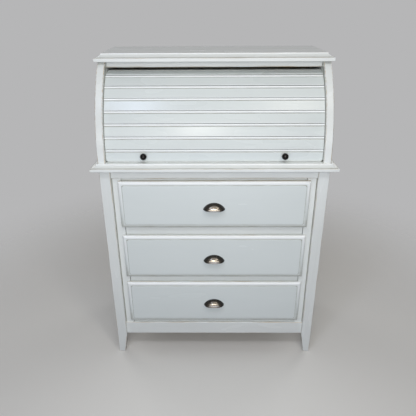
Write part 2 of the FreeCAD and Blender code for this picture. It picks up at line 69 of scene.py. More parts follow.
# %% [markdown]
# ## Surfaces from rings
# A board, a leg, a moulded top, a slat and a turned knob look different, but all are one kind of surface:
# a closed loop of points is carried along a path, and changes its size or shape on the way. The loop is
# one parameter and the way along the path is the other. numpy works out all the points at once, quads
# join each ring to the next, and a flat face closes each end. The volume tells which way the faces point:
# if it comes out negative they point inwards, and all of them are turned round.
#
# Two numbers go with each point. The first is 1 on an outer edge, where hands and sandpaper wear the paint
# through; on the cup pulls it is a painted highlight instead. The second is 1 in an inner corner, where brown
# finishing glaze stays when the rest is wiped off, and its colour also paints shade in corners and under
# edges; 0 on a flat face, where a thin film of it stays; and -1 where a round edge gets a lighter coat, a
# painted highlight.

# %% Closed bodies from rings of points
def signed_volume(points, quads, caps):
    """Six times the volume: the sum of a . (b x c) over the triangles that fan out in every face."""
    fans = [quads[:, [0, 1, 2]], quads[:, [0, 2, 3]]]
    fans += [np.stack([np.full(len(cap) - 2, cap[0]), cap[1:-1], cap[2:]], axis=-1) for cap in caps]
    a, b, c = np.moveaxis(points[np.concatenate(fans)], 1, 0)
    return np.einsum("ij,ij->", a, np.cross(b, c))


def ring_faces(points, count, around):
    """Quads (i, j), (i, j+1), (i+1, j+1), (i+1, j), where j wraps round, and a cap on each end ring."""
    i, j = np.meshgrid(np.arange(count - 1) * around, np.arange(around), indexing="ij")
    beside = (j + 1) % around
    quads = np.stack([i + j, i + beside, i + beside + around, i + j + around], axis=-1).reshape(-1, 4)
    caps = [np.arange(around)[::-1], np.arange(around) + (count - 1) * around]
    if signed_volume(points, quads, caps) < 0:
        quads, caps = quads[:, ::-1], [cap[::-1] for cap in caps]
    return quads, caps


def add_object(name, data):
    """Links a new object, which sits at the origin."""
    thing = bpy.data.objects.new(name, data)
    bpy.context.scene.collection.objects.link(thing)
    return thing


def add_mask(mesh, label, values):
    """Stores one number for each point of a mesh."""
    layer = mesh.attributes.new(label, "FLOAT", "POINT")
    layer.data.foreach_set("value", values.astype(np.float32).ravel())


def make_piece(name, bodies):
    """One mesh object from closed bodies, each (rings, rub, glaze with painted light), where rings is (count,
    around, 3).
    """
    points, faces, rubs, glaze_and_light_values, first = [], [], [], [], 0
    for rings, wear_and_highlight, glaze_and_painted_light in bodies:
        count, around = rings.shape[:2]
        points.append(rings.reshape(-1, 3))
        quads, caps = ring_faces(points[-1], count, around)
        faces += (quads + first).tolist() + [(cap + first).tolist() for cap in caps]
        rubs.append(np.broadcast_to(wear_and_highlight, (count, around)).ravel())
        glaze_and_light_values.append(np.broadcast_to(glaze_and_painted_light, (count, around)).ravel())
        first += count * around
    mesh = bpy.data.meshes.new(name)
    mesh.from_pydata(np.concatenate(points).tolist(), [], faces)
    add_mask(mesh, "wear_and_highlight", np.concatenate(rubs))
    add_mask(mesh, "glaze_and_painted_light", np.concatenate(glaze_and_light_values))
    mesh.shade_smooth()
    piece = add_object(name, mesh)
    flats = piece.modifiers.new("flats_stay_flat", "WEIGHTED_NORMAL")
    flats.weight = 80
    return piece


# %% [markdown]
# ### Rounded loops
# A real board has no sharp edge: the maker breaks each one with a stroke of sandpaper, and paint rounds
# it further. So a board's loop is a rectangle with quarter circles at its corners. The Bevel modifier
# would do that too, but then no point would know that it is on an edge. Here the loop carries it: "rub"
# is highest in the middle of each quarter circle, and one more point on either side, a little way along
# the flat, ends the worn strip there.

# %% Rectangles with rounded corners
STEPS = 5
WORN_STRIP = 2.2 * MM
STRIP_SHARE = 0.45  # of what the quarter circles leave of a narrow side, at the most
QUARTER = np.linspace(0, np.pi / 2, STEPS)
CORNERS = np.array([[1, 1], [-1, 1], [-1, -1], [1, -1]])
angle = np.concatenate([QUARTER[:1], QUARTER, QUARTER[-1:]]) + np.arange(4)[:, None] * np.pi / 2
OUTWARD = np.stack([np.cos(angle), np.sin(angle)], axis=-1)
ALONG = np.zeros_like(OUTWARD)
ALONG[:, 0] = np.stack([np.sin(angle[:, 0]), -np.cos(angle[:, 0])], axis=-1)
ALONG[:, -1] = np.stack([-np.sin(angle[:, -1]), np.cos(angle[:, -1])], axis=-1)
ROUND_RUB, MIDDLE_RUB = 0.55, 0.45
EDGE_RUB = np.concatenate([[0], ROUND_RUB + MIDDLE_RUB * np.sin(2 * QUARTER), [0]])


def rounded_rectangles(low, high, radius):
    """One loop per row of low and high: corner centre + radius * (cos t, sin t) at each of four corners."""
    low, high = np.atleast_2d(low), np.atleast_2d(high)
    radius = np.broadcast_to(radius, (len(low), 4))
    spare = STRIP_SHARE * ((high - low).min(axis=1) - 2 * radius.max(axis=1))
    strip = np.clip(spare, 0, WORN_STRIP)[:, None, None, None]
    radius = radius[:, :, None, None]
    corner = np.where(CORNERS > 0, high[:, None], low[:, None])[:, :, None]
    loops = corner - CORNERS[:, None] * radius + radius * OUTWARD + strip * ALONG
    return loops.reshape(len(low), -1, 2)


def stack_loops(loops, places, axis):
    """Stands loop k across an axis (0, 1 or 2 for X, Y or Z) at places[k] along it."""
    rings = np.empty(loops.shape[:2] + (3,))
    rings[..., (axis + 1) % 3] = loops[..., 0]
    rings[..., (axis + 2) % 3] = loops[..., 1]
    rings[..., axis] = np.asarray(places)[:, None]
    return rings


print(f"a rounded loop has {4 * (STEPS + 2)} points")


# %% [markdown]
# ### Eased boards
# A board is that loop carried from one end to the other. At each end it draws in by a quarter circle, so
# that the end's edges are eased like the long ones. The four corners may have different radii, in the
# order high-high, low-high, low-low, high-low across the board.

# %% Boards
EASE = 1.2 * MM


def board(low, high, grain, ease=EASE, radius=None, worn=(1, 1, 1, 1), edge_glaze_and_light=(0, 0, 0, 0)):
    """Rings of a board whose grain runs on one axis: near each end the loop draws in by ease (1 - sin t).

    worn says for each long edge how much it is rubbed, and the last argument how much glaze colour lies along
    it, partly glaze and partly painted shade; below 0 that edge gets a lighter coat, a painted highlight."""
    low, high = np.array(low, float), np.array(high, float)
    across = [(grain + 1) % 3, (grain + 2) % 3]
    way = np.concatenate([QUARTER, QUARTER[-1:], QUARTER[-1:], QUARTER[::-1]])[:, None]
    further = np.zeros(len(way))
    further[[STEPS, STEPS + 1]] = WORN_STRIP
    from_end = ease * (1 - np.cos(way[:, 0])) + further
    places = np.where(np.arange(len(way)) <= STEPS, low[grain] + from_end, high[grain] - from_end)
    draw_in = ease * (1 - np.sin(way))
    radii = np.maximum(np.broadcast_to(ease if radius is None else radius, 4) - draw_in, 0.1 * ease)
    loops = rounded_rectangles(low[across] + draw_in, high[across] - draw_in, radii)
    long_rub = (np.array(worn)[:, None] * EDGE_RUB).ravel()
    on_round = ROUND_RUB * np.sin(2 * way) + MIDDLE_RUB * (way < QUARTER[-1])
    end_rub = np.where(further[:, None] > 0, 0, on_round)
    glaze_and_painted_light = (np.array(edge_glaze_and_light)[:, None] * (EDGE_RUB > 0)).ravel()
    return stack_loops(loops, places, grain), np.maximum(long_rub, end_rub * max(worn)), glaze_and_painted_light


# %% [markdown]
# ## Materials
# Colours are written as sRGB hex values, as a paint maker would give them, and one function turns them
# into the linear values that shaders work with. One small function adds a node with its settings and
# links, so a material reads as a list of what it is made of. Every pattern is sized in millimetres.

# %% Colours and nodes
RGBA = {"data_type": "RGBA"}  # a Mix node that mixes colours
TIMES = {"operation": "MULTIPLY"}


def linear(hex_colour):
    """sRGB to linear: c / 12.92 up to 0.04045, and ((c + 0.055) / 1.055) ** 2.4 above it."""
    c = np.array([int(hex_colour[k:k + 2], 16) for k in (1, 3, 5)]) / 255
    return (*np.where(c <= 0.04045, c / 12.92, ((c + 0.055) / 1.055) ** 2.4).tolist(), 1.0)


def add_node(tree, kind, settings=None, inputs=(), out=0):
    """Adds a shader node, sets its properties and its inputs, and gives back one of its outputs.

    inputs is a list in the sockets' order, where None leaves one alone, or a dictionary by name or number.
    An input that is an output of another node is linked."""
    node = tree.nodes.new("ShaderNode" + kind)
    for key, value in (settings or {}).items():
        setattr(node, key, value)
    for key, value in inputs.items() if isinstance(inputs, dict) else enumerate(inputs):
        if isinstance(value, bpy.types.NodeSocket):
            tree.links.new(value, node.inputs[key])
        elif value is not None:
            node.inputs[key].default_value = value
    return node.outputs[out]


def start_material(name):
    """A node material with its Principled shader: (material, node tree, shader node)."""
    material = bpy.data.materials.new(name)
    material.use_nodes = True
    return material, material.node_tree, material.node_tree.nodes["Principled BSDF"]


def streaks(tree, grain, across, along, detail=3.0):
    """Noise from 0 to 1 whose spots are across wide and along long, in metres, the long way on one axis."""
    scale = [1 / across] * 3
    scale[grain] = 1 / along
    place = add_node(tree, "TexCoord", out="Object")
    place = add_node(tree, "Mapping", {}, {"Vector": place, "Scale": scale})
    return add_node(tree, "TexNoise", {}, {"Vector": place, "Scale": 1.0, "Detail": detail}, out="Fac")


# %% [markdown]
# ### Brushed satin enamel, aged
# The desk wears an off-white satin enamel, laid on with a brush along each board. A brush leaves ridges as
# far apart as its clumps of bristles, 1 to 2 mm, and as long as a stroke. Then the paint was aged: it was
# sanded through to the pine on outer edges, and a brown glaze was rubbed on and wiped off, so that it stays
# in inner corners. The glaze colour also paints shade in corners, gaps and under edges, and a lighter coat
# paints highlights on round edges. The points' two numbers say where all that is, and noise breaks up the
# wear and the glaze, because no hand is even. The gloss changes a little from stroke to stroke, which shows
# where a lamp is reflected.

# %% Painted pine
BRISTLE_CLUMP = 1.7 * MM
STROKE = 160 * MM
BRUSH_RELIEF = 0.05 * MM
# The lightest of the first three colours is a painted highlight on round edges, and the glaze colour also paints
# shade.
OFF_WHITE, THIN_COAT, PAINTED_HIGHLIGHT_COAT = "#EAEDEA", "#E3E6E3", "#F8FAF9"
RUBBED_PINE, GLAZE_AND_SHADE = "#B89D70", "#857F68"


def point_masks(tree):
    """The rub, and the glaze with painted shade and highlight, that each point of a new piece carries."""
    return [add_node(tree, "Attribute", {"attribute_name": label}, out="Fac") for label in ("wear_and_highlight", "glaze_and_painted_light")]


def enamel(name, grain, colour=OFF_WHITE, thin=THIN_COAT, wear=1.0, gloss=(0.2, 0.3), masks=point_masks):
    """Satin enamel brushed along an axis: two tones, glaze and painted shade, painted highlights, rubbed pine.

    wear, 0 to 1, is how much of each edge is rubbed through, and gloss is the range of the roughness."""
    material, tree, shader = start_material(name)
    # Two tones: the film is thinner between strokes and in broad patches.
    stroke = streaks(tree, grain, BRISTLE_CLUMP, STROKE)
    patch = streaks(tree, grain, 70 * MM, 260 * MM, 2.0)
    thickness = add_node(tree, "Math", {"operation": "MULTIPLY_ADD"}, [stroke, 0.5, patch])
    thickness = add_node(tree, "MapRange", {}, [thickness, 0.55, 0.95, 0.0, 1.0])
    coat = add_node(tree, "Mix", RGBA, {0: thickness, 6: linear(thin), 7: linear(colour)}, 2)

    # Glaze in the corners, unevenly wiped, whose colour also paints shade there, and a lighter coat where the
    # mask is below 0, which is a painted highlight.
    wear_and_highlight, glaze_and_painted_light = masks(tree)
    wiped_glaze_and_shade = streaks(tree, grain, 12 * MM, 50 * MM)
    wiped_glaze_and_shade = add_node(tree, "MapRange", {}, [wiped_glaze_and_shade, 0.3, 0.65, 0.5, 0.95])
    wiped_glaze_and_shade = add_node(tree, "Math", TIMES, [glaze_and_painted_light, wiped_glaze_and_shade])
    coat = add_node(tree, "Mix", RGBA, {0: wiped_glaze_and_shade, 6: coat, 7: linear(GLAZE_AND_SHADE)}, 2)
    painted_highlight = add_node(tree, "Math", TIMES, [glaze_and_painted_light, -1.0])
    coat = add_node(tree, "Mix", RGBA, {0: painted_highlight, 6: coat, 7: linear(PAINTED_HIGHLIGHT_COAT)}, 2)

    # Pine where the edges are sanded through, in broken lines.
    sanded = streaks(tree, grain, 4 * MM, 90 * MM, 4.0)
    sanded = add_node(tree, "MapRange", {}, [sanded, 0.35, 0.65, 0.45, 1.0])
    sanded = add_node(tree, "Math", TIMES, [wear_and_highlight, sanded])
    sanded = add_node(tree, "MapRange", {}, [sanded, 0.45, 1.0, 0.0, 0.9 * wear])
    coat = add_node(tree, "Mix", RGBA, {0: sanded, 6: coat, 7: linear(RUBBED_PINE)}, 2)
    tree.links.new(coat, shader.inputs["Base Color"])

    # Gloss by patches, and relief by brush strokes.
    tree.links.new(add_node(tree, "MapRange", {}, [patch, 0.25, 0.75, *gloss]), shader.inputs["Roughness"])
    relief = add_node(tree, "Bump", {}, {"Height": stroke, "Distance": BRUSH_RELIEF, "Strength": 1.0})
    tree.links.new(relief, shader.inputs["Normal"])
    return material


# The same paint in three tones: the case's as written, the drawer fronts' a little darker and the slats' darker
# still. These differences paint the light and shade of each part.
along_x, along_y, along_z = (enamel(f"satin_enamel_brushed_along_{axis}", k) for k, axis in enumerate("xyz"))
drawer_enamel_with_painted_shade = enamel("satin_enamel_on_drawer_fronts_with_painted_shade", 0, "#E1E7E5", "#DFE5E3", gloss=(0.22, 0.28))
slat_enamel_with_painted_shade = enamel("satin_enamel_on_slats_with_painted_shade", 0, "#D9DFDD", "#D4DAD8", wear=0.2, gloss=(0.17, 0.36))
print(f"off-white in linear values: {[round(c, 3) for c in linear(OFF_WHITE)]}")


# %% [markdown]
# ### Bare pine and plywood
# Drawer boxes and runners are left unpainted. Pine shows its year rings as darker lines of late wood, 3 to
# 8 mm apart on a flat-sawn board, which wander along it. A wave bent by slow noise gives the rings, and
# fine noise stretched along the grain gives the fibres. Birch plywood has the same make-up, but is paler
# and calmer, with wide figure.

# %% Bare woods
FIBRE = 0.7 * MM  # real fibres are finer, and would not show
YEAR_RING = 5 * MM


def bare_wood(name, grain, early, late, ring_spacing):
    """Planed wood: a wave across the grain, bent by slow noise, goes between two tones of one wood."""
    material, tree, shader = start_material(name)
    drift = streaks(tree, grain, 55 * MM, 420 * MM, 2.0)
    bend = add_node(tree, "CombineXYZ", {}, [drift, drift, drift])
    place = add_node(tree, "TexCoord", out="Object")
    bend = add_node(tree, "VectorMath", {"operation": "MULTIPLY_ADD"}, [bend, [9 * ring_spacing] * 3, place])
    squeeze = [1.0] * 3
    squeeze[grain] = 0.02
    bend = add_node(tree, "Mapping", {}, {"Vector": bend, "Scale": squeeze})
    rings = add_node(tree, "TexWave", {"bands_direction": "DIAGONAL"},
                     {"Vector": bend, "Scale": math.pi / 5 / ring_spacing}, out="Fac")
    late_wood = add_node(tree, "MapRange", {}, [rings, 0.45, 0.95, 0.0, 0.75])
    fibres = streaks(tree, grain, FIBRE, 30 * MM)
    pores = add_node(tree, "MapRange", {}, [fibres, 0.5, 0.75, 0.0, 0.35])
    tone = add_node(tree, "Mix", RGBA, {0: late_wood, 6: linear(early), 7: linear(late)}, 2)
    tone = add_node(tree, "Mix", RGBA, {0: pores, 6: tone, 7: linear(late)}, 2)
    tree.links.new(tone, shader.inputs["Base Color"])
    tree.links.new(add_node(tree, "MapRange", {}, [fibres, 0.3, 0.7, 0.45, 0.6]), shader.inputs["Roughness"])
    relief = add_node(tree, "Bump", {}, {"Height": fibres, "Distance": 0.05 * MM, "Strength": 1.0})
    tree.links.new(relief, shader.inputs["Normal"])
    return material


pine_x, pine_y = (bare_wood(f"planed_pine_along_{axis}", k, "#DDBF90", "#BC9362", YEAR_RING)
                  for k, axis in enumerate("xy"))
plywood = bare_wood("birch_plywood", 2, "#DCC6A0", "#CCAE82", 14 * MM)
print(f"pine rings are {YEAR_RING / MM} mm apart, fibres {FIBRE / MM} mm wide")


# %% [markdown]
# ### Cotton canvas
# The slats are glued to cotton duck, a plain weave of thick soft threads. Two waves at right angles, one
# for the warp and one for the weft, are multiplied: that is high where two threads cross and low in the
# holes between them. The canvas bends with the slats, so one wave goes by Y and Z together.

# %% Canvas
THREAD = 1.2 * MM  # real duck is about twice as fine, and would not show


def cotton_duck():
    """Weave from two crossed waves: warp by X, weft by Y + Z, each one thread wide from crest to crest."""
    material, tree, shader = start_material("cotton_duck_canvas")
    place = add_node(tree, "TexCoord", out="Object")
    warp = add_node(tree, "TexWave", {}, {"Vector": place, "Scale": math.pi / 10 / THREAD}, out="Fac")
    across = add_node(tree, "Mapping", {}, {"Vector": place, "Scale": [0.0, 1.0, 1.0]})
    weft = add_node(tree, "TexWave", {"bands_direction": "DIAGONAL"},
                    {"Vector": across, "Scale": math.pi / 5 / THREAD}, out="Fac")
    weave = add_node(tree, "Math", TIMES, [warp, weft])
    cloth = add_node(tree, "Mix", RGBA, {0: weave, 6: linear("#9C9075"), 7: linear("#D8CDB3")}, 2)
    tree.links.new(cloth, shader.inputs["Base Color"])
    shader.inputs["Roughness"].default_value = 0.9
    relief = add_node(tree, "Bump", {}, {"Height": weave, "Distance": 0.25 * MM, "Strength": 1.0})
    tree.links.new(relief, shader.inputs["Normal"])
    return material


canvas = cotton_duck()
print(f"canvas threads are {THREAD / MM} mm apart")


# %% [markdown]
# ### Blackened nickel plate
# The cup pulls and knobs are cast zinc, plated with nickel and blackened. A metal has no colour of its own
# but that of its reflection, which is dark here and a little warm. Its gloss varies in patches of a few
# millimetres where the black is thinner. On the pulls' lower middle, a point mask mixes in bright nickel,
# drawn as black rubbed off by fingers: that is a painted highlight. A thin clear lacquer lies over it all.

# %% Blackened nickel
# The last colour is a painted highlight on the pulls.
BLACKENED, THINLY_BLACKENED, PAINTED_HIGHLIGHT_NICKEL = "#0F0D0C", "#201D1C", "#ACA294"


def blackened_nickel():
    """Dark satin metal: patches of thinner blackening are lighter and smoother; painted highlights are bright."""
    material, tree, shader = start_material("blackened_nickel_plate")
    patch = streaks(tree, 0, 5 * MM, 9 * MM)
    tone = add_node(tree, "MapRange", {}, [patch, 0.35, 0.7, 0.0, 1.0])
    tone = add_node(tree, "Mix", RGBA, {0: tone, 6: linear(BLACKENED), 7: linear(THINLY_BLACKENED)}, 2)
    # A painted highlight: bright nickel where the pulls' point mask is high.
    wear_and_highlight = add_node(tree, "Attribute", {"attribute_name": "wear_and_highlight"}, out="Fac")
    tone = add_node(tree, "Mix", RGBA, {0: wear_and_highlight, 6: tone, 7: linear(PAINTED_HIGHLIGHT_NICKEL)}, 2)
    tree.links.new(tone, shader.inputs["Base Color"])
    tree.links.new(add_node(tree, "MapRange", {}, [patch, 0.3, 0.7, 0.26, 0.2]), shader.inputs["Roughness"])
    shader.inputs["Metallic"].default_value = 1.0
    shader.inputs["Coat Weight"].default_value = 0.3
    shader.inputs["Coat Roughness"].default_value = 0.1
    grit = streaks(tree, 0, 0.6 * MM, 0.6 * MM)
    relief = add_node(tree, "Bump", {}, {"Height": grit, "Distance": 0.01 * MM, "Strength": 1.0})
    tree.links.new(relief, shader.inputs["Normal"])
    return material


nickel = blackened_nickel()
print(f"{len(bpy.data.materials)} materials so far")


# %% [markdown]
# ## Pieces in the place of their CAD solids
# A new piece rides on the body of the CAD node that it stands for, and that node is hidden. A CAD node
# that keeps its own shape only gets a better material.

# %% Placing and dressing
def stand_in(piece, node, material):
    """Gives a piece its material, and puts it in the place of a CAD node: on its body, with the node hidden."""
    piece.data.materials.append(material)
    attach(piece, body_of[node])
    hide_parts(node)


def put(node, name, bodies, material):
    """Makes a piece from closed bodies, in the place of a CAD node."""
    stand_in(make_piece(name, bodies), node, material)


def dress(node, material):
    """A CAD node keeps its mesh and gets another material."""
    for k in range(len(nodes[node].data.materials)):
        nodes[node].data.materials[k] = material


# %% [markdown]
# ## Legs
# Each leg is a square post. Below the apron it tapers on its two inner faces only, so that the outside of
# the desk stays straight. The loop is a square with eased corners, fixed at the leg's outer corner, and
# its size grows evenly from the foot to the top of the taper.

# %% Four tapered legs
TAPER_TOP = 86.5 * MM
FOOT = 24 * MM
LEG_EASE = 2 * MM


def leg(node):
    """Squares up the leg: side = foot + (full - foot) * height / taper top, and full above it."""
    low, high = corners(node)
    top, full = high[2], high[0] - low[0]
    foot_round = [0, 0.4 * MM, 1 * MM, 3 * MM]
    height = np.array([*foot_round, 0.5 * TAPER_TOP, TAPER_TOP, 0.5 * top, top - 1 * MM, top])
    draw_in = np.array([1.5, 0.5, 0, 0, 0, 0, 0, 0, 0.3])[:, None] * MM
    side = (full - (full - FOOT) * np.clip(1 - height / TAPER_TOP, 0, 1))[:, None]
    left_or_front = (low + high)[:2] < 0
    inner_high = np.where(left_or_front, low[:2] + side, high[:2])
    inner_low = np.where(left_or_front, low[:2], high[:2] - side)
    loops = rounded_rectangles(inner_low + draw_in, inner_high - draw_in, LEG_EASE)
    foot_rub = np.array([1, 1, 1, 0.3, 0, 0, 0, 0, 0])[:, None]
    return stack_loops(loops, height, 2), np.maximum(0.9 * np.tile(EDGE_RUB, 4), foot_rub), 0.0


for node in ("front_left_leg", "front_right_leg", "back_left_leg", "back_right_leg"):
    put(node, f"{node}_post", [leg(node)], along_z)
print(f"legs: {corners('front_left_leg')[1][2] / MM:.1f} mm high, {FOOT / MM} mm square at the floor")


# %% [markdown]
# ## Side panels, stiles and aprons
# These are plain boards, with their grain along them. A stile has glaze along the edge where it runs into
# the leg, because the brush can't be wiped clean there, and its colour also paints the shade of that
# corner. The side panels have glaze colour along all their long edges, partly glaze and partly painted
# shade where they meet other parts. The aprons have rounder front edges.

# %% Plain painted boards of the chest
APRON_ROUND = 3.5 * MM
apron_radii = [EASE, APRON_ROUND, APRON_ROUND, EASE]
# Glaze colour on the side panels' long edges and on the stiles' edge by the leg: partly glaze, partly painted
# shade.
for node in ("left_side_panel", "right_side_panel"):
    put(node, f"{node}_board", [board(*corners(node), 2, worn=(0, 0, 0, 0), edge_glaze_and_light=(0.8,) * 4)], along_z)
for node, edge_glaze_and_light in (("left_stile", (0, 0, 1, 0)), ("right_stile", (0, 0, 0, 1))):
    put(node, f"{node}_board", [board(*corners(node), 2, worn=(0, 0, 0, 0), edge_glaze_and_light=edge_glaze_and_light)], along_z)
for node in ("top_apron", "bottom_apron"):
    put(node, f"{node}_board", [board(*corners(node), 0, ease=0.6 * MM, radius=apron_radii)], along_x)
print("side panels, stiles and aprons")


# %% [markdown]
# ### Rails of the face frame
# Each rail has a part between the stiles, set back a little behind their faces, and a longer part glued
# behind them. A narrow slit stays open at both ends. The top rail shows only as a thin band above the
# first drawer, and the glaze colour along its lower edge is partly glaze and partly painted shade under the
# apron. The lower edges of the two rails between the drawers get a lighter coat, a painted highlight.

# %% Rails
RAIL_GAP = 1.2 * MM
# On the rails' lower edges: above 0, glaze colour that paints the shade under the apron; below 0, a lighter coat,
# a painted highlight.
LOWER_EDGE_PAINTED_LIGHT = {"top_rail": 1.0, "drawer_rail_1": -0.8, "drawer_rail_2": -0.8, "bottom_rail": 0.0}
frame_back = corners("left_stile")[1][1]
rail_reach = corners("right_stile")[0][0] - RAIL_GAP


def rail(node, glaze_and_painted_light):
    """Two boards in one piece: a short one in front of the stiles' back faces, and a long one behind them.

    The second argument is the glaze colour on the front's lower edge, partly glaze and partly painted shade;
    below 0 that edge gets a lighter coat, a painted highlight."""
    low, high = corners(node)
    front = board((-rail_reach, low[1], low[2]), (rail_reach, frame_back, high[2]), 0, 0.8 * MM,
                  worn=(0, 0, 0, 0), edge_glaze_and_light=(0, 0, glaze_and_painted_light, 0))
    return [front, board((low[0], frame_back, low[2]), high, 0, 0.5 * MM, worn=(0, 0, 0, 0))]


for node, glaze_and_painted_light in LOWER_EDGE_PAINTED_LIGHT.items():
    put(node, f"{node}_boards", rail(node, glaze_and_painted_light), along_x)
print(f"rails reach {rail_reach / MM:.1f} mm to each side")


# %% [markdown]
# ## Moulded boards
# The waist board and the top board have the same kind of edge: a rounded lip, a small flat quirk, a bevel
# that is a little hollow, and a narrow upright fillet under the flat top. A moulding is a profile, so each
# of its points becomes one ring: a rectangle at the point's height, drawn in by the point's inset at the
# front and both ends. The corners are mitred by themselves, and the back stays square. Glaze stays in the
# quirk, where its colour also paints the corner's shade, and under the lip, where it is painted shade. The
# lip and the top arris are rubbed, and the top arris also gets a lighter coat, a painted highlight.

# %% Waist board and top board
MITRE = 1.0 * MM
LIP_ROUND = 2.5 * MM
MOULDING_QUIRK = 1.0 * MM
HOLLOW = 0.05
ARRIS = 1.2 * MM


def edge_moulding(lip, run, rise, fillet):
    """Columns of inset, height, rub, and glaze with painted shade and highlight: two quarter circles for
    the lip, a step, a bevel, a fillet.

    The bevel is a straight line pressed in by a parabola: 4 * HOLLOW * t * (1 - t), square to the line."""
    t = np.linspace(0, np.pi / 2, 9)
    way = np.linspace(0, 1, 7)
    start, top = LIP_ROUND + MOULDING_QUIRK, lip + rise + fillet
    rising, setting = 1 - np.cos(t), 1 - np.sin(t)
    # In the glaze column: shade painted under the lip and in the quirk, and a painted highlight on the top arris.
    under = [LIP_ROUND * setting, LIP_ROUND * rising, 0 * t, 0.7 * np.cos(t) ** 2]
    over = [LIP_ROUND * rising, lip - LIP_ROUND * setting, 0.9 * np.sin(2 * t) ** 2, 0 * t]
    step = [[start - 0.4 * MM, start - 0.1 * MM], [lip, lip], [0, 0], [1, 1]]
    pressed = 4 * HOLLOW * way * (1 - way)
    bevel = [start + run * way + rise * pressed, lip + rise * way - run * pressed, 0 * way, (1 - way) ** 8]
    eased = [start + run + ARRIS * rising, top - ARRIS * setting, 0.7 * np.sin(2 * t), -np.cos(t)]
    flat = [[start + run + ARRIS + WORN_STRIP], [top], [0], [0]]
    parts = (under, over, step, bevel, eased, flat)
    return np.concatenate([np.array(part, float) for part in parts], axis=1)


def moulded(node, moulding):
    """Rings at the profile's heights: low + (inset, inset) to high - (inset, 0)."""
    low, high = corners(node)
    inset, height, wear_and_highlight, glaze_and_painted_light = moulding
    near = low[:2] + np.stack([inset, inset], axis=-1)
    far = high[:2] - np.stack([inset, 0 * inset], axis=-1)
    loops = rounded_rectangles(near, far, [0.5 * MM, 0.5 * MM, MITRE, MITRE])
    return stack_loops(loops, low[2] + height, 2), wear_and_highlight[:, None], glaze_and_painted_light[:, None]


waist_moulding = edge_moulding(11.5 * MM, 16 * MM, 9.5 * MM, 3 * MM)
top_moulding = edge_moulding(13 * MM, 17 * MM, 11 * MM, 3 * MM)
put("waist_board", "waist_board_moulded", [moulded("waist_board", waist_moulding)], along_x)
put("top_board", "top_board_moulded", [moulded("top_board", top_moulding)], along_x)
print(f"top board: {(corners('top_board')[1] - corners('top_board')[0]) / MM} mm")


# %% [markdown]
# ## Sides and back of the writing case
# The curved sides keep their CAD shape, because it has the grooves for the tambour cut into it. Its points
# carry no rub or glaze, so the material finds them by place: the distance from the middle of the curve says
# how near a point is to the front edge, and the distance sideways says how near it is to an arris.

# %% Upper case
arc_centre = np.array(joints["tambour_roll"]["pos_m"])
case_low, case_high = corners("right_upper_side")
edge_radius = arc_centre[1] - case_low[1]
RUB_FROM, RUB_FULL = 4 * MM, 1.2 * MM


def side_masks(tree):
    """Rub on the curved edge's two arrises; glaze on the inner face just outside the slats, partly painted shade.
    """
    place = add_node(tree, "TexCoord", out="Object")
    spoke = add_node(tree, "VectorMath", {"operation": "MULTIPLY_ADD"},
                     [place, [0.0, 1.0, 1.0], [0.0, -arc_centre[1], -arc_centre[2]]])
    radius = add_node(tree, "VectorMath", {"operation": "LENGTH"}, [spoke], out="Value")
    sideways = add_node(tree, "Math", {"operation": "ABSOLUTE"}, [add_node(tree, "SeparateXYZ", {}, [place])])
    middle, half = (case_low[0] + case_high[0]) / 2, (case_high[0] - case_low[0]) / 2
    to_arris = add_node(tree, "Math", {"operation": "SUBTRACT"}, [sideways, middle])
    to_arris = add_node(tree, "Math", {"operation": "ABSOLUTE"}, [to_arris])
    to_arris = add_node(tree, "MapRange", {}, [to_arris, half - RUB_FROM, half - RUB_FULL, 0.0, 1.0])
    to_front = add_node(tree, "MapRange", {},
                        [radius, edge_radius - RUB_FROM, edge_radius - RUB_FULL, 0.0, 1.0])
    wear_and_highlight = add_node(tree, "Math", TIMES, [to_arris, to_front])
    inside = add_node(tree, "MapRange", {},
                      [sideways, case_low[0] + 0.3 * MM, case_low[0] + 0.8 * MM, 1.0, 0.0])
    band = add_node(tree, "MapRange", {}, [radius, edge_radius - 15 * MM, edge_radius - 7 * MM, 1.0, 0.0])
    behind = add_node(tree, "MapRange", {}, [radius, edge_radius - 24 * MM, edge_radius - 16 * MM, 0.0, 1.0])
    glaze_and_painted_light = add_node(tree, "Math", TIMES, [inside, band])
    glaze_and_painted_light = add_node(tree, "Math", TIMES, [glaze_and_painted_light, behind])
    return wear_and_highlight, glaze_and_painted_light


side_enamel = enamel("satin_enamel_on_curved_sides", 2, masks=side_masks)
for node in ("left_upper_side", "right_upper_side"):
    dress(node, side_enamel)
for node in ("back_panel", "upper_back_panel"):
    dress(node, plywood)
# The front rail's top front edge, under the top board, gets glaze colour: partly glaze, partly painted shade.
front_rail_radii = [EASE, EASE, 4 * MM, EASE]
front_rail = board(*corners("top_front_rail"), 0, 0.5 * MM, front_rail_radii,
                   worn=(0, 0, 1, 0), edge_glaze_and_light=(0, 0.8, 0, 0))
put("top_front_rail", "top_front_rail_board", [front_rail], along_x)
print(f"curved front edge: radius {edge_radius / MM:.1f} mm about {arc_centre[1:] / MM} mm")


# %% [markdown]
# ### Organiser
# Behind the tambour, a shelf on three dividers makes four pigeonholes. The dividers are one node, and
# stand at equal distances.

# %% Organiser boards
DIVIDER = 10 * MM
first, last = corners("organiser_dividers")
put("organiser_shelf", "organiser_shelf_board", [board(*corners("organiser_shelf"), 0)], along_x)
dividers = [board((x, first[1], first[2]), (x + DIVIDER, last[1], last[2]), 1)
            for x in np.linspace(first[0], last[0] - DIVIDER, 3)]
put("organiser_dividers", "organiser_divider_boards", dividers, along_y)
print(f"{len(dividers)} dividers")


# %% [markdown]
# ## Tambour
# Every slat is one moulded strip. It has a flat face, and along its upper edge a bead beside a sunk line.
# The far side of the bead goes down less than the sunk line does, so the joint to the next slat stays a
# fine line. The section is worked out once, in steps across the slat and out from the hinge lines. The
# hinge lines are the joints' own axes, so they come from the frame, and each slat lies between two.

